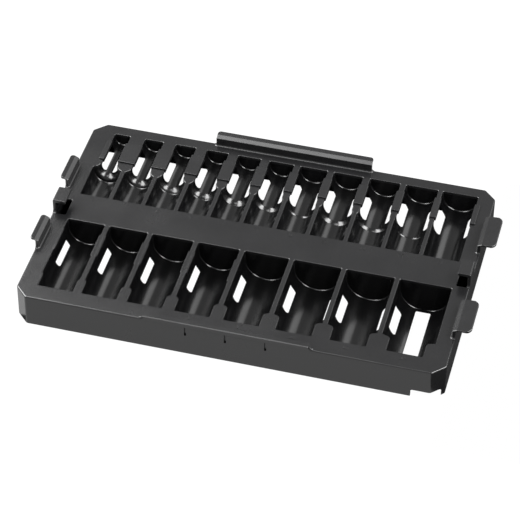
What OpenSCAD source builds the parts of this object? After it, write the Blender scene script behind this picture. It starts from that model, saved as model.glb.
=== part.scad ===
// Socket storage tray: one open moulded tray with two rows of cradles.
// Millimetres. +X runs along the rows, +Y to the back, +Z up, base at z = 0.
// The tray is drawn with its deck top at z = 0, then place() lifts and centres it.

/* [Tray] */
// Deck length along the rows
deck_w = 284.8; // [284:0.2:300]
// Deck depth, back to front
deck_d = 182.2; // [182:0.2:190]
// Height of the deck top above the table
tray_h = 23.9; // [23:0.1:32]
// Corner chamfer of the deck
corner_c = 8.2; // [3:0.2:10]
// Deck plate thickness
deck_t = 2; // [1.6:0.1:2.4]
// Skirt wall thickness
skirt_t = 2; // [1.5:0.1:2.4]
// Cradle shell thickness
shell_t = 1.4; // [1.2:0.1:1.4]

/* [Small row] */
// Pocket length, back to front
small_len = 66.8; // [66:0.2:70]
// Height of the cradle axis below the deck top
small_axis = 3; // [2:0.25:4]
// Gap between the wide ends of neighbouring pockets
small_rib = 2.94; // [2.9:0.02:3.1]
// Centre of the first small pocket
small_x0 = -120.7; // [-122:0.1:-120]
// Deck margin behind the small row
back_margin = 8.75; // [8:0.05:10]

/* [Large row] */
// Pocket length, back to front
large_len = 67.2; // [66:0.1:68]
// Height of the cradle axis below the deck top
large_axis = 7; // [6:0.25:7.5]
// Gap between the wide ends of neighbouring pockets
large_rib = 3.3; // [3.2:0.05:3.4]
// Centre of the first large pocket
large_x0 = -117.6; // [-118:0.1:-117]
// Width of the narrow drive end
large_drive = 23.6; // [22:0.1:24]
// Band between the rows
band_d = 26.6; // [26:0.1:28]

/* [Retention] */
// How far a pad or nib reaches over its pocket
pad_over = 0.7; // [0.4:0.1:1]
// Height of a pad above the deck
pad_h = 1.1; // [0.8:0.1:2]

/* [Grips] */
// Height of the rear grip and side tabs above the deck
tab_h = 7.9; // [6:0.1:9]
// Thickness of the flange plates
tab_t = 1.7; // [1.4:0.1:2.2]
// Thickness of the upright walls
tab_wall = 2.2; // [1.8:0.1:2.4]
// Reach of the rear grip past the deck edge
grip_reach = 4.4; // [3:0.1:6]
// Half length of the rear grip and the front lip
grip_half = 54; // [45:0.5:60]
// Reach of the left tabs past the deck edge
left_reach = 3.6; // [3:0.1:6]
// Reach of the right tabs past the deck edge
right_reach = 9.9; // [6:0.1:12]
// Length of a left tab
left_len = 24.6; // [20:0.2:28]
// Length of a right tab
right_len = 30; // [24:0.5:34]
// Height of the hooks above the deck
hook_h = 10.5; // [9:0.1:12]
// Length of a hook
hook_len = 14.2; // [10:0.2:15]
// Height of the front lip above the deck
lip_h = 3; // [1.5:0.1:4]

/* [Hidden] */
$fn = 96;
deck_color = [0.25, 0.25, 0.255];
cradle_color = [0.11, 0.11, 0.115];
skirt_color = [0.27, 0.27, 0.275];
flange_color = [0.29, 0.29, 0.295];
// opening widths at the nose of each socket, 6 to 16 mm and 17 to 24 mm
small_nose = [11.2, 13.3, 14.6, 15.3, 16.3, 17.4, 19.2, 20.3, 21.1, 22.3, 24.4];
large_nose = [25.8, 26.5, 28.4, 28.4, 30.4, 32.1, 32.5, 34.6];
// opening width at the drive end of a small socket
function small_wide(i) = i < 7 ? 19.9 : i < 10 ? 22.8 : 24.4;
function small_x(i) = i == 0 ? small_x0
    : small_x(i - 1) + (small_wide(i - 1) + small_wide(i)) / 2 + small_rib;
function large_x(i) = i == 0 ? large_x0
    : large_x(i - 1) + (large_nose[i - 1] + large_nose[i]) / 2 + large_rib;

// lines across the tray, with y = 0 at the small row's front wall
y_back = small_len + back_margin;
y_front = y_back - deck_d;
y_band = -band_d;
y_end = y_band - large_len;
y_mid = (y_back + y_front) / 2;
hx = deck_w / 2;
// distances from the nose end: pad or nib start and end, shoulder start and end
small_t = [8.8, 28.8, 32, 37.7];
large_t = [10.1, 31.1, 53, 56.8];
// the four smallest pockets of the large row have nibs
nib_count = 4;
function nib_over(i) = i < nib_count ? pad_over : 0;
// outer ends of the first and last pad
first_pad_x = -129.2;
last_pad_len = 3;
// windows of the small row: start and end from the nose end, then the inner edges of the
// left and right window, which lie further out by a share of how much wider the pocket is
small_win = [7.2, 31.2];
small_left = [3, 0.7];
small_right = [0.9, 1.1];
// how far a small window cuts past the trough's wall
window_past = 2;
// windows of the large row: start and end, each with its share of the extra width, and the
// inner edges of the left and right window as parts of the pocket's half width
large_start = [6.9, 0.86];
large_end = [31.4, 0.6];
large_left = 0.73;
large_right = 0.7;
// strip left between a large window and the upright wall, and the cuts at the corners
window_edge = 0.15;
front_cut = 1.5;
small_cut = 3.5;
large_cut = 2;
// bend and corners of the flanges, and thickness of the hook plates
bend_r = 2.6;
grip_corner = 2.5;
left_corner = 2.2;
right_corner = 4;
hook_t = 2.4;
// decorative slits under the front rail
slit_pitch = 26.5;
slit_w = 1.4;
slit_d = 1.2;
slit_low = 7.9;
slit_high = 0.6;
// finger notch under the front right corner
notch_w = 18.9;
notch_h = 6;
notch_in = 2.2;
// slot in the floor of the widest trough
slot_w = 10;
slot_end = 2.5;
// how far the front and back skirt walls run past the chamfers
skirt_past = 2;
// offsets of the side tabs from the middle of the deck
left_off = 32;
right_off = 41.8;
hook_in = hx - 8.8;
// the centre band ends this far out
band_end = hook_in - 4;
hole_out = hx - skirt_t;
hole_half = hook_len / 2 + 0.8;
lip_nose = 0.8;
lip_d = 3.6;
// whole size, used to centre the part
x_lo = -hx - left_reach;
x_hi = hx + right_reach;
y_lo = y_front - lip_nose;
y_hi = y_back + grip_reach;

// lift the deck frame to the part's own frame
module place() {
    translate([-(x_lo + x_hi) / 2, -(y_lo + y_hi) / 2, tray_h]) children();
}

// ---- outlines in plan ----

// deck outline with chamfered corners, pulled in by d
module deck_outline(d = 0) {
    c = corner_c - d * (2 - sqrt(2));
    x = hx - d;
    polygon([[-x, y_front + d + c], [-x + c, y_front + d], [x - c, y_front + d],
        [x, y_front + d + c], [x, y_back - d - c], [x - c, y_back - d],
        [-x + c, y_back - d], [-x, y_back - d - c]]);
}

// half width and distance along a shoulder: a cone in the small row, and in the large
// row a quarter of an ellipse that ends along the pocket
function shoulder(a, b, t) = a <= b ? [[a, t[2]], [b, t[3]]] : [for (q = [0 : 18 : 90])
    [b + (a - b) * (1 - sin(q)), t[3] - (t[3] - t[2]) * cos(q)]];
// half outline of a pocket: half width a at the nose, b at the drive end,
// over = reach of the pads, grow = wall added all round, t = distances
function pads(a, t, over) = over > 0 ? [[a, -t[0]], [a - over, -t[0]], [a - over, -t[1]],
    [a, -t[1]]] : [];
function half(a, b, len, t, over, grow) = concat([[a + grow, grow]], pads(a, t, over),
    [for (p = shoulder(a, b, t)) [p[0] + grow, -p[1]]], [[b + grow, -len - grow]]);
function mirrored(p) = [for (i = [len(p) - 1 : -1 : 0]) [-p[i][0], p[i][1]]];

module pocket_plan(a, b, len, t, over = 0, grow = 0) {
    h = half(a, b, len, t, over, grow);
    polygon(concat(h, mirrored(h)));
}
module small_plan(i, over = 0, grow = 0) {
    translate([small_x(i), small_len])
        pocket_plan(small_nose[i] / 2, small_wide(i) / 2, small_len, small_t, over, grow);
}
module large_plan(i, over = 0, grow = 0) {
    translate([large_x(i), y_band])
        pocket_plan(large_nose[i] / 2, large_drive / 2, large_len, large_t, over, grow);
}
module box2(x0, y0, x1, y1) { translate([x0, y0]) square([x1 - x0, y1 - y0]); }
module plate() { translate([0, 0, -deck_t]) linear_extrude(deck_t) children(); }

// ---- deck plates ----

module deck_back_rail() {
    color(deck_color) place() plate() intersection() {
        deck_outline();
        box2(-hx, small_len, hx, y_back);
    }
}
module deck_centre_band() {
    color(deck_color) place() plate() box2(-band_end, y_band, band_end, 0);
}
module slits(z0, z1) {
    for (i = [-1, 0, 1]) translate([slit_pitch * i - slit_w / 2, y_front - 1, z0])
        cube([slit_w, slit_d + 1, z1 - z0]);
}
module deck_front_rail() {
    color(deck_color) place() difference() {
        plate() intersection() {
            deck_outline();
            box2(-hx, y_front, hx, y_end);
        }
        slits(-deck_t - 1, -slit_high);
    }
}
// one side of the deck with its hook hole; s = -1 left, 1 right
module side_rail(s, xs, xl) {
    difference() {
        union() {
            box2(min(s * hx, xs), 0, max(s * hx, xs), small_len);
            box2(min(s * hx, s * band_end), y_band, max(s * hx, s * band_end), 0);
            box2(min(s * hx, xl), y_end, max(s * hx, xl), y_band);
        }
        children();
        box2(min(s * hook_in, s * hole_out), y_mid - hole_half,
            max(s * hook_in, s * hole_out), y_mid + hole_half);
    }
}
// raised pad that lies on the deck and reaches over the pockets
module pad(x0, x1) {
    linear_extrude(pad_h) box2(x0, small_len - small_t[1], x1, small_len - small_t[0]);
}
module deck_left_rail() {
    x = small_x(0) - small_nose[0] / 2;
    color(deck_color) place() {
        plate() side_rail(-1, small_x(0), large_x(0)) {
            small_plan(0, pad_over);
            large_plan(0, nib_over(0));
        }
        pad(first_pad_x, x + pad_over);
    }
}
module deck_right_rail() {
    x = small_x(10) + small_nose[10] / 2;
    color(deck_color) place() {
        plate() side_rail(1, small_x(10), large_x(7)) {
            small_plan(10, pad_over);
            large_plan(7, nib_over(7));
        }
        pad(x - pad_over, x + last_pad_len);
    }
}
module small_divider(i) {
    color(deck_color) place() {
        plate() difference() {
            box2(small_x(i), 0, small_x(i + 1), small_len);
            small_plan(i, pad_over);
            small_plan(i + 1, pad_over);
        }
        pad(small_x(i) + small_nose[i] / 2 - pad_over,
            small_x(i + 1) - small_nose[i + 1] / 2 + pad_over);
    }
}
module large_divider(i) {
    color(deck_color) place() plate() difference() {
        box2(large_x(i), y_end, large_x(i + 1), y_band);
        large_plan(i, nib_over(i));
        large_plan(i + 1, nib_over(i + 1));
    }
}

// ---- skirt ----

module skirt(x0, y0, x1, y1) {
    translate([0, 0, -tray_h]) linear_extrude(tray_h - deck_t) intersection() {
        difference() {
            deck_outline();
            deck_outline(skirt_t);
        }
        box2(x0, y0, x1, y1);
    }
}
skirt_y1 = y_back - corner_c - skirt_past;
skirt_y0 = y_front + corner_c + skirt_past;
module skirt_back() { color(skirt_color) place() skirt(-hx, skirt_y1, hx, y_back); }
module skirt_left() { color(skirt_color) place() skirt(-hx, skirt_y0, 0, skirt_y1); }
module skirt_right() { color(skirt_color) place() skirt(0, skirt_y0, hx, skirt_y1); }
module skirt_front() {
    color(skirt_color) place() difference() {
        skirt(-hx, y_front, hx, skirt_y0);
        slits(-slit_low, 0);
        translate([hx - notch_in - notch_w, y_front - 1, -tray_h - 1])
            cube([notch_w, corner_c + skirt_past + 2, notch_h + 1]);
    }
}

// ---- cradles ----

// trough along y: half round below the axis, straight walls above it
module small_trough(i, grow) {
    steps = concat([[small_nose[i] / 2, -grow]],
        shoulder(small_nose[i] / 2, small_wide(i) / 2, small_t),
        [[small_wide(i) / 2, small_len + grow]]);
    translate([small_x(i), small_len, -small_axis]) rotate([90, 0, 0])
        for (k = [0 : len(steps) - 2]) translate([0, 0, steps[k][1]])
            cylinder(h = steps[k + 1][1] - steps[k][1], r1 = steps[k][0] + grow,
                r2 = steps[k + 1][0] + grow);
    translate([0, 0, -small_axis]) linear_extrude(small_axis + 20) small_plan(i, 0, grow);
}
module large_trough(i, grow) {
    a = large_nose[i] / 2 + grow;
    intersection() {
        translate([0, 0, -2 * tray_h]) linear_extrude(3 * tray_h) large_plan(i, 0, grow);
        translate([large_x(i), y_band, -large_axis]) union() {
            rotate([90, 0, 0]) translate([0, 0, -grow]) cylinder(h = large_len + 2 * grow, r = a);
            translate([-a, -large_len - grow, 0]) cube([2 * a, large_len + 2 * grow, 40]);
        }
    }
}
// window from near to far of a trough's middle, cut off at its two inner corners
module window(x, y0, y1, near, far, back_cut) {
    s = sign(near);
    translate([x, 0, -tray_h - 1]) linear_extrude(tray_h) polygon([[near + s * front_cut, y0],
        [far, y0], [far, y1], [near + s * back_cut, y1], [near, y1 - back_cut],
        [near, y0 + front_cut]]);
}
module small_windows(i) {
    r = small_nose[i] / 2;
    y0 = small_len - small_win[1];
    y1 = small_len - small_win[0];
    more = r - small_nose[0] / 2;
    window(small_x(i), y0, y1, -small_left[0] - small_left[1] * more, -r - window_past, small_cut);
    window(small_x(i), y0, y1, small_right[0] + small_right[1] * more, r + window_past, small_cut);
}
module large_windows(i) {
    r = large_nose[i] / 2;
    more = r - large_nose[0] / 2;
    y0 = y_band - large_end[0] - large_end[1] * more;
    y1 = y_band - large_start[0] - large_start[1] * more;
    window(large_x(i), y0, y1, -large_left * r, -r + window_edge, large_cut);
    // the last pocket is closed on its right
    if (i < 7) window(large_x(i), y0, y1, large_right * r, r - window_edge, large_cut);
}
module shell_slab() {
    translate([-hx, y_front, -tray_h]) cube([deck_w, deck_d, tray_h - deck_t]);
}
module small_cradle(i) {
    color(cradle_color) place() difference() {
        intersection() {
            small_trough(i, shell_t);
            shell_slab();
        }
        small_trough(i, 0);
        small_windows(i);
    }
}
module large_cradle(i) {
    color(cradle_color) place() difference() {
        intersection() {
            large_trough(i, shell_t);
            shell_slab();
        }
        large_trough(i, 0);
        large_windows(i);
        // the widest trough is open where it meets the table
        if (i == 7) translate([large_x(i) - slot_w / 2, y_band - large_len, -tray_h - 1])
            cube([slot_w, large_len - slot_end, 4]);
    }
}

// ---- grips, tabs and hooks ----

// upright wall and outward flange; u runs outwards from the wall's inner face
function bend(r, n) = [for (k = [0 : n]) let (q = 90 * k / n)
    [r - r * cos(q), tab_h - r + r * sin(q)]];
module flange_profile(reach) {
    polygon(concat([[0, 0]], bend(bend_r, 8), [[tab_wall + reach, tab_h],
        [tab_wall + reach, tab_h - tab_t], [tab_wall + 0.9, tab_h - tab_t],
        [tab_wall, tab_h - tab_t - 0.9], [tab_wall, 0]]));
}
// flange of the given length, centred, with rounded outer corners
module flange(len, reach, r) {
    d = tab_wall + reach;
    intersection() {
        translate([-len / 2, 0, 0]) rotate([90, 0, 90]) linear_extrude(len) flange_profile(reach);
        linear_extrude(tab_h + 1) {
            box2(-len / 2, -1, len / 2, d - r);
            box2(-len / 2 + r, -1, len / 2 - r, d);
            for (s = [-1, 1]) translate([s * (len / 2 - r), d - r]) circle(r);
        }
    }
}
module rear_grip() {
    color(flange_color) place() translate([0, y_back - tab_wall, 0])
        flange(2 * grip_half, grip_reach, grip_corner);
}
module left_tab(y) {
    color(flange_color) place() translate([-hx + tab_wall, y_mid + y, 0]) rotate(90)
        flange(left_len, left_reach, left_corner);
}
module right_tab(y) {
    color(flange_color) place() translate([hx - tab_wall, y_mid + y, 0]) rotate(-90)
        flange(right_len, right_reach, right_corner);
}
module left_tab_rear() { left_tab(left_off); }
module left_tab_front() { left_tab(-left_off); }
module right_tab_rear() { right_tab(right_off); }
module right_tab_front() { right_tab(-right_off); }

// wall that turns inwards over the deck hole
module hook(s) {
    color(flange_color) place() translate([0, y_mid + hook_len / 2, 0]) rotate([90, 0, 0])
        linear_extrude(hook_len) mirror([s < 0 ? 1 : 0, 0])
            polygon([[hole_out, 0], [hx, 0], [hx, hook_h - 0.8], [hx - 0.8, hook_h],
                [hook_in, hook_h], [hook_in, hook_h - hook_t], [hole_out - 1, hook_h - hook_t],
                [hole_out, hook_h - hook_t - 1]]);
}
module left_hook() { hook(-1); }
module right_hook() { hook(1); }

module front_lip() {
    color(flange_color) place() translate([-grip_half - 0.5, 0, 0]) rotate([90, 0, 90])
        linear_extrude(2 * grip_half + 1)
            polygon([[y_front, 0], [y_front + lip_d, 0], [y_front + lip_d, lip_h],
                [y_front - lip_nose, lip_h], [y_front - lip_nose, lip_h - 1.2],
                [y_front, lip_h - 2]]);
}

// ---- nodes ----

deck_back_rail();
deck_centre_band();
deck_front_rail();
deck_left_rail();
deck_right_rail();
skirt_back();
skirt_front();
skirt_left();
skirt_right();
rear_grip();
front_lip();
left_tab_rear();
left_tab_front();
right_tab_rear();
right_tab_front();
left_hook();
right_hook();
small_cradle(0);  // socket_cradle_06mm
small_cradle(1);  // socket_cradle_07mm
small_cradle(2);  // socket_cradle_08mm
small_cradle(3);  // socket_cradle_09mm
small_cradle(4);  // socket_cradle_10mm
small_cradle(5);  // socket_cradle_11mm
small_cradle(6);  // socket_cradle_12mm
small_cradle(7);  // socket_cradle_13mm
small_cradle(8);  // socket_cradle_14mm
small_cradle(9);  // socket_cradle_15mm
small_cradle(10);  // socket_cradle_16mm
large_cradle(0);  // socket_cradle_17mm
large_cradle(1);  // socket_cradle_18mm
large_cradle(2);  // socket_cradle_19mm
large_cradle(3);  // socket_cradle_20mm
large_cradle(4);  // socket_cradle_21mm
large_cradle(5);  // socket_cradle_22mm
large_cradle(6);  // socket_cradle_23mm
large_cradle(7);  // socket_cradle_24mm
small_divider(0);  // divider_06_07
small_divider(1);  // divider_07_08
small_divider(2);  // divider_08_09
small_divider(3);  // divider_09_10
small_divider(4);  // divider_10_11
small_divider(5);  // divider_11_12
small_divider(6);  // divider_12_13
small_divider(7);  // divider_13_14
small_divider(8);  // divider_14_15
small_divider(9);  // divider_15_16
large_divider(0);  // divider_17_18
large_divider(1);  // divider_18_19
large_divider(2);  // divider_19_20
large_divider(3);  // divider_20_21
large_divider(4);  // divider_21_22
large_divider(5);  // divider_22_23
large_divider(6);  // divider_23_24
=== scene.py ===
"""Looks of the socket storage tray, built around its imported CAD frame."""

import math
from collections import namedtuple

import bmesh
import bpy
from mathutils import Matrix, Quaternion, Vector
from mathutils.geometry import delaunay_2d_cdt


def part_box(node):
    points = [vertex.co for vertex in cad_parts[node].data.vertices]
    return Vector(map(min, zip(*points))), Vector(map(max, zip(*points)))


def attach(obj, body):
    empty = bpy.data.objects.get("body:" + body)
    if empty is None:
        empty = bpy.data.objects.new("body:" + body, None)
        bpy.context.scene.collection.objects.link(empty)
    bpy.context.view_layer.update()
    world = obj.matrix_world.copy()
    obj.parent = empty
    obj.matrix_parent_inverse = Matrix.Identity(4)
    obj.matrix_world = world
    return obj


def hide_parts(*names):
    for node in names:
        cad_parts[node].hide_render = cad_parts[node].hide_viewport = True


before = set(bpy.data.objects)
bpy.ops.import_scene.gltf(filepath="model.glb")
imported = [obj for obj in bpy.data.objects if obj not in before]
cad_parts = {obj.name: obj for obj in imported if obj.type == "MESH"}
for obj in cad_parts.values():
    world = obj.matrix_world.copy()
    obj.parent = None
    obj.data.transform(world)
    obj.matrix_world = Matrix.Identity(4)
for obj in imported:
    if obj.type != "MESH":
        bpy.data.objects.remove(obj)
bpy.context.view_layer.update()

# Shapes are drawn in millimetres in the deck's own frame: x = 0 in the middle of the deck,
# y = 0 at the front wall of the small row, z = 0 on the deck top.
MM = 0.001


def box_mm(node):
    low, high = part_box(node)
    return Vector(low) / MM, Vector(high) / MM


left_low, left_high = box_mm("deck_left_rail")
right_low, right_high = box_mm("deck_right_rail")
back_low, back_high = box_mm("deck_back_rail")
band_low, band_high = box_mm("deck_centre_band")
front_low, front_high = box_mm("deck_front_rail")
ORIGIN = Vector(((left_low.x + right_high.x) / 2, band_high.y, band_high.z))
HALF_WIDTH = (right_high.x - left_low.x) / 2
TRAY_H = ORIGIN.z
BACK = back_high.y - ORIGIN.y
SMALL_BACK = back_low.y - ORIGIN.y
LARGE_BACK = band_low.y - ORIGIN.y
LARGE_FRONT = front_high.y - ORIGIN.y
FRONT = front_low.y - ORIGIN.y
MIDDLE_Y = (BACK + FRONT) / 2

# thicknesses and edge roundings
DECK_T = 2.0
SKIRT_T = 2.0
SHELL_T = 1.4
CHAMFER = 8.2
OUTLINE_R = 2.4
EDGE_R = 0.8
RIM_R = 0.5
SKIRT_FOOT_R = 0.5
CORNER_R = 0.9
BASE_R = 0.9
# the splits of the deck run this far outside the pockets
SPLIT = 2.0
# decorative slits of the front wall: distance apart, half width, depth and lower end
SLIT_PITCH = 26.5
SLIT_HALF = 0.7
SLIT_D = 1.2
SLIT_END = -7.9
# the side hooks: half width, height, how far they reach inwards, and plate thickness
HOOK_HALF = 7.1
HOOK_H = 10.5
HOOK_REACH = 8.8
HOOK_T = 2.4
# notch in the foot of the front wall: its ends from the tray's right side, and its height
NOTCH_FAR = 21.1
NOTCH_NEAR = 2.2
NOTCH_H = 6
NOTCH_R = 1.5
# where a trough reaches the table its floor is cut flat, and this thick
FLOOR_T = 0.4
# slot in the floor of the widest pocket: half width and distance from the nose end
SLOT_HALF = 5
SLOT_END = 2.5
# size marks: letter height, and how far they lie in front of the pockets of each row
MARK_H = 3.1
SMALL_MARK_GAP = 4.2
LARGE_MARK_GAP = 4.4


# ---- pockets ----

Pocket = namedtuple("Pocket", "name x back front axis nose drive pad shoulder flared window")
# a window's inner edges left and right of the pocket's middle, and its two ends
Window = namedtuple("Window", "left right start end")
SMALL_NOSE = (11.2, 13.3, 14.6, 15.3, 16.3, 17.4, 19.2, 20.3, 21.1, 22.3, 24.4)
LARGE_DRIVE = 23.6
LARGE_FIRST_NOSE = 25.8
# pads and nibs: how far they reach over a pocket, pad height, and the first and last pad
PAD_OVER = 0.7
PAD_H = 1.1
FIRST_PAD_X = -129.2
LAST_PAD_LEN = 3
NIB_WIDTH = 1.2
# only the smallest pockets of the large row have nibs
NIB_COUNT = 4
# distances from the nose end: pad or nib start and end, and shoulder end
SMALL_PAD = (8.8, 28.8)
LARGE_PAD = (10.1, 31.1)
SMALL_SHOULDER = 37.7
LARGE_SHOULDER = 56.8
# how deep the axis of each row lies under the deck top
SMALL_AXIS = 3.0
LARGE_AXIS = 7.0
# rounds of the shoulders, and the small fillet at the foot of each
SMALL_ROUND = 5.8
LARGE_ROUND = 2.7
FLARE_FILLET = 0.9
STEEPEST = math.radians(75)
# rounds of the windows, at the front and back, and how far the small ones cut past the wall
WINDOW_R = 2.0
SMALL_WINDOW_R = 4.5
LARGE_WINDOW_R = 2.5
WINDOW_PAST = 2
WINDOW_EDGE = 0.15


def small_pockets():
    """The pockets of the back row; places and widths come from their CAD nodes."""
    found = []
    for i, nose in enumerate(SMALL_NOSE):
        low, high = box_mm(f"socket_cradle_{i + 6:02d}mm")
        wide = (high.x - low.x) / 2 - SHELL_T
        # the windows of the wider pockets lie further out
        more = (nose - SMALL_NOSE[0]) / 2
        opening = Window(3 + 0.7 * more, 0.9 + 1.1 * more, 7.2, 31.2)
        found.append(Pocket(f"{i + 6:02d}", (low.x + high.x) / 2 - ORIGIN.x, SMALL_BACK, 0.0,
                            SMALL_AXIS, nose / 2, wide, SMALL_PAD, SMALL_SHOULDER, True, opening))
    return found


def large_pockets():
    """The pockets of the front row."""
    found = []
    for size in range(17, 25):
        low, high = box_mm(f"socket_cradle_{size}mm")
        nose = (high.x - low.x) / 2 - SHELL_T
        # the windows of the wider pockets lie further forward
        more = nose - LARGE_FIRST_NOSE / 2
        opening = Window(0.73 * nose, 0.7 * nose, 6.9 + 0.86 * more, 31.4 + 0.6 * more)
        found.append(Pocket(str(size), (low.x + high.x) / 2 - ORIGIN.x, LARGE_BACK, LARGE_FRONT,
                            LARGE_AXIS, nose, LARGE_DRIVE / 2, LARGE_PAD, LARGE_SHOULDER, False,
                            opening))
    return found


def spread(start, end, count):
    """Evenly spaced numbers from start to end, both included, in count steps."""
    return [start + (end - start) * k / count for k in range(count + 1)]


def flare(step, radius):
    """Profile of a shoulder: a wide round that ends in a small fillet, step deep.

    Gives distances along the pocket and how far the wall has moved, both from 0.
    """
    whole = radius + FLARE_FILLET
    turn = min(math.acos(max(1 - step / whole, -1)), STEEPEST)
    straight = step - whole * (1 - math.cos(turn))
    run = whole * math.sin(turn) + straight / math.tan(turn)
    points = [(radius * math.sin(a), radius * (1 - math.cos(a))) for a in spread(0, turn, 10)]
    points += [(run - FLARE_FILLET * math.sin(a), step - FLARE_FILLET * (1 - math.cos(a)))
               for a in spread(turn, 0, 5)[0 if straight > 0.01 else 1:]]
    return points


def wall_line(p):
    """Distance behind the nose end and half width, along the whole shoulder of a pocket."""
    step = abs(p.drive - p.nose)
    if step < 0.01:
        return []
    curve = flare(step, SMALL_ROUND if p.flared else LARGE_ROUND)
    if p.flared:
        start = p.shoulder - curve[-1][0]
        return [(start + u, p.nose + rise) for u, rise in curve]
    return [(p.shoulder - u, p.drive + rise) for u, rise in reversed(curve)]


def mouth(p):
    """Outline of a pocket at deck level, anticlockwise from above."""
    r = CORNER_R
    side = []
    for a in spread(90, 0, 5):
        turn = math.radians(a)
        side.append((p.nose - r + r * math.cos(turn), p.back - r + r * math.sin(turn)))
    side += [(w, p.back - t) for t, w in wall_line(p)]
    for a in spread(0, -90, 5):
        turn = math.radians(a)
        side.append((p.drive - r + r * math.cos(turn), p.front + r + r * math.sin(turn)))
    right = [(p.x + w, y) for w, y in reversed(side)]
    left = [(p.x - w, y) for w, y in side]
    return right + left


SMALL = small_pockets()
LARGE = large_pockets()
# the side rails end on these planes, through the first and last pockets
LEFT_SPLIT = (SMALL[0].x + LARGE[0].x) / 2
RIGHT_SPLIT = (SMALL[-1].x + LARGE[-1].x) / 2


# ---- outlines ----

def rounded(points, radius, steps=6):
    """Rounds the corners of a closed polygon; radius is one number or one per corner."""
    result = []
    count = len(points)
    for i, corner in enumerate(points):
        r = radius if isinstance(radius, (int, float)) else radius[i]
        here = Vector(corner)
        before = (Vector(points[i - 1]) - here).normalized()
        after = (Vector(points[(i + 1) % count]) - here).normalized()
        if r <= 0:
            result.append(tuple(here))
            continue
        half = before.angle(after) / 2
        bisector = (before + after).normalized()
        centre = here + bisector * (r / math.sin(half))
        start = here + before * (r / math.tan(half)) - centre
        end = here + after * (r / math.tan(half)) - centre
        turn = start.angle_signed(end)
        for k in range(steps + 1):
            spoke = start.copy()
            spoke.rotate(Matrix.Rotation(-turn * k / steps, 2))
            result.append(tuple(centre + spoke))
    return result


def offset(points, distance):
    """Moves a closed outline to its right by a distance, corners mitred."""
    moved = []
    count = len(points)
    for i in range(count):
        before = (Vector(points[i]) - Vector(points[i - 1])).normalized()
        after = (Vector(points[(i + 1) % count]) - Vector(points[i])).normalized()
        n1 = Vector((before.y, -before.x))
        n2 = Vector((after.y, -after.x))
        moved.append(tuple(Vector(points[i]) + (n1 + n2) * (distance / (1 + n1.dot(n2)))))
    return moved


def deck_outline():
    """Outline of the deck, with cut and rounded corners."""
    x, c = HALF_WIDTH, CHAMFER
    corners = [(-x, FRONT + c), (-x + c, FRONT), (x - c, FRONT), (x, FRONT + c),
               (x, BACK - c), (x - c, BACK), (-x + c, BACK), (-x, BACK - c)]
    return rounded(corners, OUTLINE_R)


def rectangle(x0, y0, x1, y1):
    return [(x0, y0), (x1, y0), (x1, y1), (x0, y1)]


# ---- mesh tools ----

def add_ring(bm, points, z):
    return [bm.verts.new((x, y, z)) for x, y in points]


def bridge(bm, ring_a, ring_b, closed=True):
    """Joins two rings of the same length with four-sided faces."""
    count = len(ring_a)
    for i in range(count if closed else count - 1):
        j = (i + 1) % count
        bm.faces.new((ring_a[i], ring_a[j], ring_b[j], ring_b[i]))


def inside(point, outline):
    """True if a point lies inside a closed outline."""
    x, y = point
    hit = False
    for i, (ax, ay) in enumerate(outline):
        bx, by = outline[i - 1]
        if (ay > y) != (by > y) and x < ax + (y - ay) * (bx - ax) / (by - ay):
            hit = not hit
    return hit


def fill_between(bm, outer, holes):
    """Fills the flat area inside the outer ring and outside the hole rings."""
    verts = []
    edges = []
    for ring in [outer] + holes:
        start = len(verts)
        verts += ring
        edges += [(start + k, start + (k + 1) % len(ring)) for k in range(len(ring))]
    flat = [v.co.xy for v in verts]
    _, _, faces, source, _, _ = delaunay_2d_cdt(flat, edges, [], 1, 1e-5)
    outlines = [[tuple(v.co.xy) for v in hole] for hole in holes]
    for face in faces:
        corners = [verts[source[k][0]] for k in face]
        middle = sum((c.co.xy for c in corners), Vector((0, 0))) / len(corners)
        if not any(inside(middle, outline) for outline in outlines):
            bm.faces.new(corners)


def cut(bm, point, normal):
    """Keeps what lies behind the plane and caps the cut."""
    geometry = bm.verts[:] + bm.edges[:] + bm.faces[:]
    bmesh.ops.bisect_plane(bm, geom=geometry, dist=1e-5, plane_co=point, plane_no=normal,
                           clear_outer=True)
    open_edges = [e for e in bm.edges if e.is_boundary]
    bmesh.ops.holes_fill(bm, edges=open_edges, sides=0)


def cut_box(source, x0=None, y0=None, x1=None, y1=None):
    """A capped copy of what lies inside the given limits."""
    part = source.copy()
    if x0 is not None:
        cut(part, (x0, 0, 0), (-1, 0, 0))
    if x1 is not None:
        cut(part, (x1, 0, 0), (1, 0, 0))
    if y0 is not None:
        cut(part, (0, y0, 0), (0, -1, 0))
    if y1 is not None:
        cut(part, (0, y1, 0), (0, 1, 0))
    return part


def close(bm, rings):
    """Skins a stack of closed rings and caps both of its ends."""
    for one, other in zip(rings, rings[1:]):
        bridge(bm, one, other)
    bm.faces.new(rings[0])
    bm.faces.new(rings[-1])
    bmesh.ops.recalc_face_normals(bm, faces=bm.faces)
    return bm


def join(target, source):
    """Adds a copy of the source to the target and frees the source."""
    mesh = bpy.data.meshes.new("part")
    source.to_mesh(mesh)
    source.free()
    target.from_mesh(mesh)
    bpy.data.meshes.remove(mesh)


def prism(outline, z0, z1):
    """Upright block over an outline."""
    bm = bmesh.new()
    return close(bm, [add_ring(bm, outline, z0), add_ring(bm, outline, z1)])


def temporary(bm, name):
    """Throwaway object that a modifier can work on."""
    mesh = bpy.data.meshes.new(name)
    bm.to_mesh(mesh)
    bm.free()
    item = bpy.data.objects.new(name, mesh)
    bpy.context.scene.collection.objects.link(item)
    return item


def remove(item):
    mesh = item.data
    bpy.data.objects.remove(item)
    bpy.data.meshes.remove(mesh)


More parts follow.
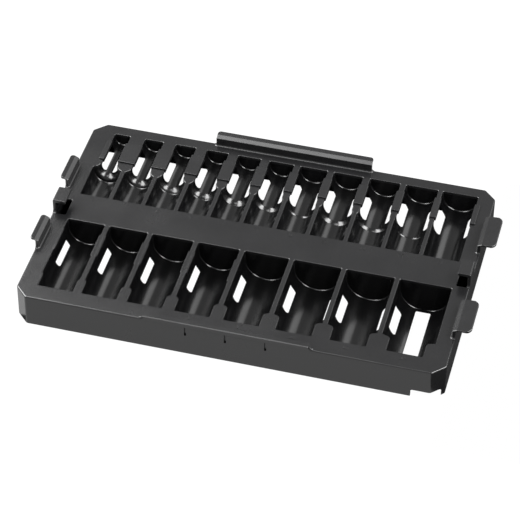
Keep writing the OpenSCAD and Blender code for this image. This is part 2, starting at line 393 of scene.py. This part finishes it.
def subtract(bm, cutters):
    """Cuts closed shapes out of a closed mesh."""
    body = temporary(bm, "body")
    tools = bmesh.new()
    for cutter in cutters:
        join(tools, cutter)
    tool = temporary(tools, "tool")
    change = body.modifiers.new("cut", "BOOLEAN")
    change.operation = "DIFFERENCE"
    change.solver = "EXACT"
    change.object = tool
    bpy.context.view_layer.update()
    mesh = bpy.data.meshes.new_from_object(body.evaluated_get(bpy.context.evaluated_depsgraph_get()))
    result = bmesh.new()
    result.from_mesh(mesh)
    bpy.data.meshes.remove(mesh)
    remove(body)
    remove(tool)
    bmesh.ops.dissolve_degenerate(result, edges=result.edges, dist=1e-4)
    return result


# ---- deck ----

def hook_hole(side):
    """Outline of the hole in the deck under a hook."""
    x0 = side * (HALF_WIDTH - HOOK_REACH)
    x1 = side * (HALF_WIDTH - SKIRT_T)
    half = HOOK_HALF + 0.8
    return rounded(rectangle(min(x0, x1), MIDDLE_Y - half, max(x0, x1), MIDDLE_Y + half), 0.8)


def deck_plate():
    """The whole pierced plate, with rounded rims and a rounded outer edge."""
    bm = bmesh.new()
    outlines = [(deck_outline(), EDGE_R, -1)]
    outlines += [(mouth(p), RIM_R, 1) for p in SMALL + LARGE]
    outlines += [(hook_hole(side), RIM_R, 1) for side in (-1, 1)]
    tops = []
    bottoms = []
    for outline, r, way in outlines:
        rings = [add_ring(bm, offset(outline, way * (r + 0.25)), 0)]
        for a in spread(0, 90, 4):
            turn = math.radians(a)
            moved = offset(outline, way * r * (1 - math.sin(turn)))
            rings.append(add_ring(bm, moved, -r * (1 - math.cos(turn))))
        rings.append(add_ring(bm, outline, -DECK_T))
        for one, other in zip(rings, rings[1:]):
            bridge(bm, one, other)
        tops.append(rings[0])
        bottoms.append(rings[-1])
    fill_between(bm, tops[0], tops[1:])
    fill_between(bm, bottoms[0], bottoms[1:])
    bmesh.ops.recalc_face_normals(bm, faces=bm.faces)
    return bm


def pad(x0, x1, y0, y1):
    """Raised plate that lies on the deck, in the second material of its piece."""
    bm = prism(rectangle(x0, y0, x1, y1), -DECK_T - 0.02, PAD_H)
    soft = [e for e in bm.edges if max(v.co.z for v in e.verts) > 0]
    bmesh.ops.bevel(bm, geom=soft, offset=0.4, segments=3, profile=0.5, affect="EDGES")
    for face in bm.faces:
        face.material_index = 1
    return bm


def small_pad(x0, x1):
    """Pad of the small row between two lines across it."""
    near, far = SMALL[0].pad
    return pad(x0, x1, SMALL_BACK - far, SMALL_BACK - near)


def nib(edge, side):
    """Low bar that reaches over a large pocket; side says which way it reaches."""
    x0 = edge + side * PAD_OVER
    x1 = edge - side * NIB_WIDTH
    near, far = LARGE[0].pad
    outline = rectangle(min(x0, x1), LARGE_BACK - far, max(x0, x1), LARGE_BACK - near)
    bm = prism(outline, -DECK_T - 0.02, 0.06)
    bmesh.ops.bevel(bm, geom=bm.edges[:], offset=0.28, segments=2, profile=0.5, affect="EDGES")
    return bm


def numeral(text, x, y):
    """Low raised size mark, standing on the deck."""
    curve = bpy.data.curves.new("mark", "FONT")
    curve.body = text
    curve.size = MARK_H / 0.7
    curve.align_x = "CENTER"
    curve.align_y = "CENTER"
    curve.extrude = 0.12
    curve.bevel_depth = 0.05
    curve.resolution_u = 3
    item = bpy.data.objects.new("mark", curve)
    bpy.context.scene.collection.objects.link(item)
    bpy.context.view_layer.update()
    mesh = bpy.data.meshes.new_from_object(item.evaluated_get(bpy.context.evaluated_depsgraph_get()))
    bm = bmesh.new()
    bm.from_mesh(mesh)
    bpy.data.objects.remove(item)
    bpy.data.curves.remove(curve)
    bpy.data.meshes.remove(mesh)
    bmesh.ops.remove_doubles(bm, verts=bm.verts, dist=1e-4)
    bmesh.ops.translate(bm, verts=bm.verts, vec=(x, y, 0.05))
    return bm


def slits(z0, z1):
    """Cutters for the slits of the front wall."""
    return [prism(rectangle(x - SLIT_HALF, FRONT - 1, x + SLIT_HALF, FRONT + SLIT_D), z0, z1)
            for x in (-SLIT_PITCH, 0, SLIT_PITCH)]


def build_deck():
    """Cuts the plate into rails, band and dividers, and adds pads, nibs and marks."""
    plate = deck_plate()
    low, high = LARGE_FRONT - SPLIT, SMALL_BACK + SPLIT
    parts = {}
    parts["deck_back_rail"] = cut_box(plate, y0=high)
    front = cut_box(plate, y1=low)
    parts["deck_front_rail"] = subtract(front, slits(-DECK_T - 1, -EDGE_R))
    band = cut_box(plate, LEFT_SPLIT, LARGE_BACK + SPLIT, RIGHT_SPLIT, -SPLIT)
    parts["deck_centre_band"] = band
    left = cut_box(plate, None, low, LEFT_SPLIT, high)
    join(left, small_pad(FIRST_PAD_X, SMALL[0].x - SMALL[0].nose + PAD_OVER))
    join(left, nib(LARGE[0].x - LARGE[0].nose, 1))
    parts["deck_left_rail"] = left
    right = cut_box(plate, RIGHT_SPLIT, low, None, high)
    edge = SMALL[-1].x + SMALL[-1].nose
    join(right, small_pad(edge - PAD_OVER, edge + LAST_PAD_LEN))
    parts["deck_right_rail"] = right
    for row in (SMALL, LARGE):
        for i in range(len(row) - 1):
            x0 = LEFT_SPLIT if i == 0 else row[i].x
            x1 = RIGHT_SPLIT if i == len(row) - 2 else row[i + 1].x
            part = cut_box(plate, x0, row[0].front - SPLIT, x1, row[0].back + SPLIT)
            if row is SMALL:
                join(part, small_pad(row[i].x + row[i].nose - PAD_OVER,
                                     row[i + 1].x - row[i + 1].nose + PAD_OVER))
            else:
                if i < NIB_COUNT:
                    join(part, nib(row[i].x + row[i].nose, -1))
                if i + 1 < NIB_COUNT:
                    join(part, nib(row[i + 1].x - row[i + 1].nose, 1))
            parts[f"divider_{row[i].name}_{row[i + 1].name}"] = part
    for p in SMALL:
        join(band, numeral(str(int(p.name)), p.x, p.front - SMALL_MARK_GAP))
    for p in LARGE:
        join(parts["deck_front_rail"], numeral(p.name, p.x, p.front - LARGE_MARK_GAP))
    plate.free()
    return parts


# ---- skirt ----

def skirt_ring():
    """Whole wall round the tray, with a rounded foot."""
    bm = bmesh.new()
    outline = deck_outline()
    r = SKIRT_FOOT_R
    rings = [add_ring(bm, outline, -DECK_T)]
    for a in spread(0, 90, 3):
        turn = math.radians(a)
        moved = offset(outline, -r * (1 - math.cos(turn)))
        rings.append(add_ring(bm, moved, -TRAY_H + r * (1 - math.sin(turn))))
    for a in spread(90, 0, 3):
        turn = math.radians(a)
        moved = offset(outline, -SKIRT_T + r * (1 - math.cos(turn)))
        rings.append(add_ring(bm, moved, -TRAY_H + r * (1 - math.sin(turn))))
    rings.append(add_ring(bm, offset(outline, -SKIRT_T), -DECK_T))
    for one, other in zip(rings, rings[1:] + rings[:1]):
        bridge(bm, one, other)
    bmesh.ops.recalc_face_normals(bm, faces=bm.faces)
    return bm


def build_skirt():
    """Cuts the wall into four, with the slits and the notch in the front one."""
    ring = skirt_ring()
    front = FRONT + CHAMFER + 2
    back = BACK - CHAMFER - 2
    parts = {
        "skirt_back": cut_box(ring, y0=back),
        "skirt_left": cut_box(ring, None, front, 0, back),
        "skirt_right": cut_box(ring, 0, front, None, back),
    }
    outline = rectangle(HALF_WIDTH - NOTCH_FAR, -TRAY_H - 1, HALF_WIDTH - NOTCH_NEAR,
                        -TRAY_H + NOTCH_H)
    notch = rounded(outline, (0, 0, NOTCH_R, NOTCH_R))
    turned = prism(notch, -FRONT - 12, -FRONT + 1)
    bmesh.ops.transform(turned, matrix=Matrix.Rotation(math.radians(90), 4, "X"),
                        verts=turned.verts)
    cutters = slits(SLIT_END, -DECK_T + 1) + [turned]
    parts["skirt_front"] = subtract(cut_box(ring, y1=front), cutters)
    ring.free()
    return parts


# ---- cradles ----

def section(p, half, inset):
    """Points of a trough's section: down one wall, round the floor, up the other."""
    w = half - inset
    r = max(half if p.flared else p.nose, half) - inset
    start = math.asin(min(1.0, w / r))
    bottom = -p.axis - r * math.cos(start)
    points = [(w, z) for z in spread(-DECK_T, bottom, 3)[:-1]]
    for a in spread(start, -start, 36):
        points.append((r * math.sin(a), -p.axis - r * math.cos(a)))
    points += [(-w, z) for z in spread(bottom, -DECK_T, 3)[1:]]
    return points


def trough_stations(p, grow):
    """Distance, half width and inset along a trough, with a fillet at each end wall."""
    length = p.back - p.front
    stations = []
    for a in spread(90, 0, 5):
        turn = math.radians(a)
        t = -grow + BASE_R * (1 - math.sin(turn))
        stations.append((t, p.nose, BASE_R * (1 - math.cos(turn))))
    stations += [(t, p.nose, 0.0) for t in spread(4, p.shoulder - 8, 5)]
    stations += [(t, w, 0.0) for t, w in wall_line(p)]
    for a in spread(0, 90, 5):
        turn = math.radians(a)
        t = length + grow - BASE_R * (1 - math.sin(turn))
        stations.append((t, p.drive, BASE_R * (1 - math.cos(turn))))
    return stations


def cradle(p):
    """Half-round trough of one pocket, as a shell with its windows cut out."""
    bm = bmesh.new()
    skins = []
    for grow, floor in ((0.0, -TRAY_H + FLOOR_T), (SHELL_T, -TRAY_H)):
        rows = []
        for t, half, inset in trough_stations(p, grow):
            points = section(p, half, inset - grow)
            rows.append([bm.verts.new((p.x + x, p.back - t, max(z, floor))) for x, z in points])
        for one, other in zip(rows, rows[1:]):
            bridge(bm, one, other, closed=False)
        bm.faces.new(rows[0])
        bm.faces.new(rows[-1])
        skins.append(rows)
    inner, outer = skins
    for k in range(len(inner) - 1):
        for end in (0, -1):
            bm.faces.new((inner[k][end], inner[k + 1][end], outer[k + 1][end], outer[k][end]))
    for k in (0, -1):
        bm.faces.new((inner[k][0], inner[k][-1], outer[k][-1], outer[k][0]))
    bmesh.ops.recalc_face_normals(bm, faces=bm.faces)
    # the last pocket is closed on its right
    cutters = [window(p, side) for side in ((-1,) if p is LARGE[-1] else (-1, 1))]
    if p is LARGE[-1]:
        # the widest trough is open where it meets the table
        slot = rectangle(p.x - SLOT_HALF, p.front + 0.3, p.x + SLOT_HALF, p.back - SLOT_END)
        slot = rounded(slot, 0.8)
        cutters.append(prism(slot, -TRAY_H - 1, -TRAY_H + 3))
    return subtract(bm, cutters)


def window(p, side):
    """Opening through the shell beside the floor, rounded at its inner corners."""
    near = p.window.left if side < 0 else p.window.right
    # windows of the small row go through the upright wall too
    far = p.nose + (WINDOW_PAST if p.flared else -WINDOW_EDGE)
    back_r = SMALL_WINDOW_R if p.flared else LARGE_WINDOW_R
    outline = rectangle(near, p.back - p.window.end, far, p.back - p.window.start)
    outline = rounded(outline, (WINDOW_R, 0, 0, min(back_r, far - near - 0.1)))
    outline = [(p.x + side * x, y) for x, y in outline]
    return prism(outline, -2 * TRAY_H, 3)


# ---- grips, tabs, hooks and lip ----

# rounding at the ends of every bar
END_R = 0.45
# the grip and tabs: height, flange thickness, wall thickness
TAB_H = 7.9
TAB_T = 1.7
WALL_T = 2.2
# where the sloping top of a flange begins
BEND_OUT = 2.75
BEND_H = 7.5
# half length, reach and corner radius of each flange, and its distance from the middle
GRIP = (55.2, 4.38, 2.2)
LEFT_TAB = (12.3, 3.58, 2.2)
RIGHT_TAB = (15, 9.88, 4)
LEFT_TAB_Y = 32
RIGHT_TAB_Y = 41.8
# the two fine ribs on the front of the grip's wall
GRIP_RIBS = (-50.5, 50.5)
# the front lip: half length, height and depth
LIP_HALF = 54.5
LIP_H = 3.0
LIP_DEPTH = 3.6
# every wall starts this far inside the deck
ROOT = -1.0


def sweep(profile_at, half, stops=()):
    """Closed bar along x from -half to half, with rounded ends."""
    bm = bmesh.new()
    stations = []
    for a in spread(90, 0, 4):
        turn = math.radians(a)
        stations.append((half - END_R * (1 - math.sin(turn)), END_R * (1 - math.cos(turn))))
    inner = [(s, 0.0) for s in stops if s < half - END_R - 0.05]
    stations += sorted(inner, reverse=True)
    stations += [(-s, inset) for s, inset in reversed(stations)]
    rings = []
    for s, inset in stations:
        points = offset(profile_at(abs(s)), -inset)
        rings.append([bm.verts.new((s, y, z)) for y, z in points])
    return close(bm, rings)


def flange_profile(reach, cut):
    """Upright wall bent over into a flange; first number outwards, second up.

    The flange is cut short by a distance, and its sloping top ends lower there.
    """
    tip = WALL_T + reach
    end = tip - cut
    top = BEND_H + (TAB_H - BEND_H) * (end - BEND_OUT) / (tip - BEND_OUT)
    corners = [(0, -1.2), (WALL_T + 0.02, -1.2), (WALL_T + 0.02, TAB_H - TAB_T), (end, TAB_H - TAB_T),
               (end, top), (BEND_OUT, BEND_H), (0, BEND_H - 1.5)]
    edge = min(0.6, 0.7 * (end - BEND_OUT))
    return rounded(corners, (0, 0, 0.8, 0.4, edge, 0.9, 0.5), steps=6)


def flange(half, reach, corner, ribs=()):
    """Wall and flange with rounded corners, and fine ribs on the front of the wall."""
    def profile_at(s):
        past = max(s - (half - corner), 0.0)
        return flange_profile(reach, corner - math.sqrt(max(corner ** 2 - past ** 2, 0.0)))
    stops = [half - corner + corner * math.sin(math.radians(a)) for a in spread(0, 80, 10)]
    bm = sweep(profile_at, half, stops=stops)
    join(bm, foot(half, 0, WALL_T + 0.01, 1.3, 0.5))
    for x in ribs:
        join(bm, prism(rectangle(x - 0.3, -0.25, x + 0.3, 0.2), -0.5, 5.7))
    return bm


def foot(half, y0, y1, r, corner=None):
    """Concave fillet where an upright wall grows out of the deck.

    It widens to both sides, and also towards y0 if it is given a corner radius.
    """
    bm = bmesh.new()
    rings = []
    for a in spread(0, 90, 6):
        turn = math.radians(a)
        out = r * (1 - math.sin(turn))
        plan = rectangle(-half - out, y0, half + out, y1)
        if corner is not None:
            plan = rectangle(-half - out, y0 - out, half + out, y1)
            plan = rounded(plan, (corner + out, corner + out, 0, 0))
        rings.append(add_ring(bm, plan, r * (1 - math.cos(turn)) - 0.01))
    rings.insert(0, [bm.verts.new((v.co.x, v.co.y, ROOT)) for v in rings[0]])
    return close(bm, rings)


def placed(bm, x, y, degrees):
    """Turns a drawing about the upright axis and moves it into place."""
    matrix = Matrix.Translation((x, y, 0)) @ Matrix.Rotation(math.radians(degrees), 4, "Z")
    bmesh.ops.transform(bm, matrix=matrix, verts=bm.verts)
    return bm


def hook(side):
    """Upright wall whose top turns inwards over the hole in the deck."""
    hole = SKIRT_T
    under = HOOK_H - HOOK_T
    corners = [(hole, -1.2), (-0.02, -1.2), (-0.02, HOOK_H), (HOOK_REACH, HOOK_H),
               (HOOK_REACH, under), (hole, under)]
    profile = rounded(corners, (0, 0, 1.0, 0.5, 0.5, 1.0), steps=6)
    profile = [(-y, z) for y, z in profile]
    bm = sweep(lambda s: profile, HOOK_HALF)
    join(bm, foot(HOOK_HALF, -hole + 0.01, 0.01, 1.5))
    return placed(bm, side * HALF_WIDTH, MIDDLE_Y, -90 if side > 0 else 90)


def lip():
    """Raised strip with a bevelled nose that stands a little past the front wall."""
    corners = [(0.02, ROOT), (0.02, 1.0), (0.78, 1.8), (0.78, 2.6), (0.1, LIP_H), (-LIP_DEPTH, LIP_H),
               (-LIP_DEPTH, ROOT)]
    profile = rounded(corners, (0, 0.2, 0.2, 0.15, 0.3, 0.6, 0), steps=5)
    bm = sweep(lambda s: profile, LIP_HALF)
    join(bm, foot(LIP_HALF, -LIP_DEPTH, 0.01, 1.0, 0.4))
    for side in (-1, 1):
        join(bm, flow_mark(side * (LIP_HALF + 1.6), -1.2))
    return placed(bm, 0, FRONT, 180)


def flow_mark(x, y):
    """Small rounded lump left by the mould beside the lip."""
    bm = bmesh.new()
    bmesh.ops.create_uvsphere(bm, u_segments=20, v_segments=12, radius=1.0)
    bmesh.ops.scale(bm, verts=bm.verts, vec=(1.5, 1.0, 0.9))
    bmesh.ops.translate(bm, verts=bm.verts, vec=(x, y, -0.1))
    return bm


def build_edges():
    """The grip, tabs, hooks and lip, each under the name of its CAD node."""
    parts = {"rear_grip": placed(flange(*GRIP, GRIP_RIBS), 0, BACK - WALL_T, 0)}
    tabs = (("left", LEFT_TAB, -HALF_WIDTH + WALL_T, LEFT_TAB_Y, 90),
            ("right", RIGHT_TAB, HALF_WIDTH - WALL_T, RIGHT_TAB_Y, -90))
    for side, shape, x, away, degrees in tabs:
        for place, way in (("rear", 1), ("front", -1)):
            tab = placed(flange(*shape), x, MIDDLE_Y + way * away, degrees)
            parts[f"{side}_tab_{place}"] = tab
    parts["left_hook"] = hook(-1)
    parts["right_hook"] = hook(1)
    parts["front_lip"] = lip()
    return parts


# ---- materials ----

# how far the roughness strays to either side
GLOSS_CHANGE = 0.03


def plastic(name, tone, roughness, grain_height):
    """Moulded black plastic: fine grain, slow changes of gloss, and specks of paler colour."""
    material = bpy.data.materials.new(name)
    material.use_nodes = True
    tree = material.node_tree
    nodes, links = tree.nodes, tree.links
    shader = nodes["Principled BSDF"]
    shader.inputs["IOR"].default_value = 1.5
    place = nodes.new("ShaderNodeTexCoord")

    def noise(scale, detail):
        texture = nodes.new("ShaderNodeTexNoise")
        texture.inputs["Scale"].default_value = scale
        texture.inputs["Detail"].default_value = detail
        links.new(place.outputs["Object"], texture.inputs["Vector"])
        return texture.outputs["Fac"]

    def ramp(value, low, high):
        remap = nodes.new("ShaderNodeMapRange")
        remap.inputs["From Min"].default_value = 0.3
        remap.inputs["From Max"].default_value = 0.7
        remap.inputs["To Min"].default_value = low
        remap.inputs["To Max"].default_value = high
        links.new(value, remap.inputs["Value"])
        return remap.outputs["Result"]

    # slow flow marks change the gloss, and specks lighten the colour
    links.new(ramp(noise(35, 3), roughness - GLOSS_CHANGE, roughness + GLOSS_CHANGE),
              shader.inputs["Roughness"])
    mix = nodes.new("ShaderNodeMix")
    mix.data_type = "RGBA"
    mix.inputs["A"].default_value = (*[c * 0.85 for c in tone], 1)
    mix.inputs["B"].default_value = (*[c * 1.2 for c in tone], 1)
    links.new(ramp(noise(900, 2), 0, 1), mix.inputs["Factor"])
    links.new(mix.outputs["Result"], shader.inputs["Base Color"])
    # grain of the mould
    bump = nodes.new("ShaderNodeBump")
    bump.inputs["Strength"].default_value = 1.0
    bump.inputs["Distance"].default_value = grain_height
    links.new(noise(2600, 2), bump.inputs["Height"])
    links.new(bump.outputs["Normal"], shader.inputs["Normal"])
    return material


# one plastic in several tones: the cradles are darker, painted shade in the pockets, and the flanges
# are lighter, painted light on the raised walls
MATERIALS = {
    "deck_plastic": plastic("deck_plastic", (0.003, 0.003, 0.0032), 0.25, 0.000008),
    "cradle_plastic": plastic("cradle_plastic", (0.001, 0.001, 0.0011), 0.2, 0.000003),
    "skirt_plastic": plastic("skirt_plastic", (0.003, 0.003, 0.0032), 0.25, 0.000008),
    "flange_plastic": plastic("flange_plastic", (0.004, 0.004, 0.0042), 0.25, 0.000006),
}
# the pads of the small row have a slightly smoother grain than the deck that they lie on, and a
# lighter tone that is painted light where they catch more light than the deck
PAD_PLASTIC_LIT = plastic("pad_plastic", (0.0036, 0.0036, 0.0038), 0.26, 0.000006)


# ---- pieces ----

def finish_piece(node, bm, slot):
    """Turns a drawing into a smooth-shaded piece that stands for its CAD node."""
    bmesh.ops.translate(bm, verts=bm.verts, vec=ORIGIN)
    bmesh.ops.scale(bm, verts=bm.verts, vec=(MM, MM, MM))
    mesh = bpy.data.meshes.new(node + "_piece")
    bm.to_mesh(mesh)
    bm.free()
    mesh.shade_smooth()
    mesh.set_sharp_from_angle(angle=math.radians(40))
    piece = bpy.data.objects.new(node + "_piece", mesh)
    bpy.context.scene.collection.objects.link(piece)
    shading = piece.modifiers.new("shading", "WEIGHTED_NORMAL")
    shading.keep_sharp = True
    shading.weight = 80
    mesh.materials.append(MATERIALS[slot])
    if any(face.material_index == 1 for face in mesh.polygons):
        mesh.materials.append(PAD_PLASTIC_LIT)
    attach(piece, "root")
    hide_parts(node)
    return piece


def build_all():
    for node, bm in build_deck().items():
        finish_piece(node, bm, "deck_plastic")
    for node, bm in build_skirt().items():
        finish_piece(node, bm, "skirt_plastic")
    for p in SMALL + LARGE:
        finish_piece(f"socket_cradle_{p.name}mm", cradle(p), "cradle_plastic")
    for node, bm in build_edges().items():
        finish_piece(node, bm, "flange_plastic")


# ---- camera, floor and light ----

def add_camera():
    """A long lens in front of the tray, a little to the right and 42 degrees up."""
    aim = Vector((0.7, -19.2, 23.9)) * MM
    azimuth = math.radians(14.154)
    elevation = math.radians(42.41)
    roll = math.radians(0.697)
    distance = 1.6115
    away = Vector((math.sin(azimuth) * math.cos(elevation),
                   -math.cos(azimuth) * math.cos(elevation), math.sin(elevation)))
    data = bpy.data.cameras.new("camera")
    data.sensor_width = 36
    data.lens = 169.6
    camera = bpy.data.objects.new("camera", data)
    bpy.context.scene.collection.objects.link(camera)
    camera.rotation_mode = "QUATERNION"
    look = (-away).to_track_quat("-Z", "Y")
    camera.rotation_quaternion = look @ Quaternion((0, 0, 1), roll)
    camera.location = aim + away * distance
    bpy.context.scene.camera = camera


def stage_sheet(name, x0, y0, x1, y1, z, glow=0.0, seen=True):
    """Flat sheet of the studio set; its limits are in the deck's frame."""
    mesh = bpy.data.meshes.new(name)
    corners = [(x + ORIGIN.x, y + ORIGIN.y, z) for x, y in rectangle(x0, y0, x1, y1)]
    mesh.from_pydata([tuple(c * MM for c in corner) for corner in corners], [], [(0, 1, 2, 3)])
    sheet = bpy.data.objects.new(name, mesh)
    bpy.context.scene.collection.objects.link(sheet)
    sheet.visible_camera = seen
    material = bpy.data.materials.new(name)
    material.use_nodes = True
    shader = material.node_tree.nodes["Principled BSDF"]
    shader.inputs["Base Color"].default_value = (0.02, 0.02, 0.02, 1)
    shader.inputs["Roughness"].default_value = 0.9
    shader.inputs["Specular IOR Level"].default_value = 0.0
    shader.inputs["Emission Color"].default_value = (1, 1, 1, 1)
    shader.inputs["Emission Strength"].default_value = glow
    mesh.materials.append(material)


def add_floor():
    """Pale glowing floor, with dark cards as painted shade: one under the tray and one beside its
    right side, both hidden from the camera, and one seen through the right hook.
    """
    stage_sheet("floor", -4000, -4000, 4000, 4000, -0.2, glow=1.0)
    # painted shade under the tray, hidden from the camera: it keeps the floor's light from under the
    # tray
    stage_sheet("card_under", -HALF_WIDTH + 1, FRONT + 1, HALF_WIDTH - 1, BACK - 1, -0.1, seen=False)
    # painted shadow on the floor beside the right side, hidden from the camera and seen only in
    # reflections
    stage_sheet("card_right", HALF_WIDTH, FRONT - 40, HALF_WIDTH + 60, BACK + 40, -0.1, seen=False)
    # painted shade: the only card that the camera sees, a dark sheet through the hole of the right
    # hook
    stage_sheet("card_hook", HALF_WIDTH - 22, MIDDLE_Y - 20, HALF_WIDTH - 3, MIDDLE_Y + 45, -0.05)


# name, direction from the tray, distance and size in metres, and glow
SOFTBOXES = (
    ("softbox_left", (-0.69, 0.03, 0.72), 1.3, (1.6, 0.95), 16),
    ("softbox_right", (0.72, -0.04, 0.69), 1.3, (1.6, 0.75), 18),
    ("softbox_back", (0.38, 0.72, 0.60), 1.6, (0.5, 0.7), 2),
    ("softbox_top", (-0.18, -0.15, 0.97), 1.3, (0.5, 0.4), 6),
)


def add_softbox(name, direction, distance, size, glow):
    """Area light aimed at the tray; glow is its brightness as the tray sees it."""
    data = bpy.data.lights.new(name, "AREA")
    data.shape = "RECTANGLE"
    data.size, data.size_y = size
    data.energy = glow * math.pi * size[0] * size[1]
    light = bpy.data.objects.new(name, data)
    away = Vector(direction).normalized()
    light.location = away * distance
    light.rotation_mode = "QUATERNION"
    light.rotation_quaternion = (-away).to_track_quat("-Z", "Y")
    bpy.context.scene.collection.objects.link(light)


def add_light():
    world = bpy.data.worlds.new("studio")
    world.use_nodes = True
    background = world.node_tree.nodes["Background"]
    background.inputs["Color"].default_value = (1, 1, 1, 1)
    background.inputs["Strength"].default_value = 0.56
    bpy.context.scene.world = world
    bpy.context.scene.view_settings.view_transform = "Standard"
    for softbox in SOFTBOXES:
        add_softbox(*softbox)


add_camera()
add_floor()
add_light()
build_all()
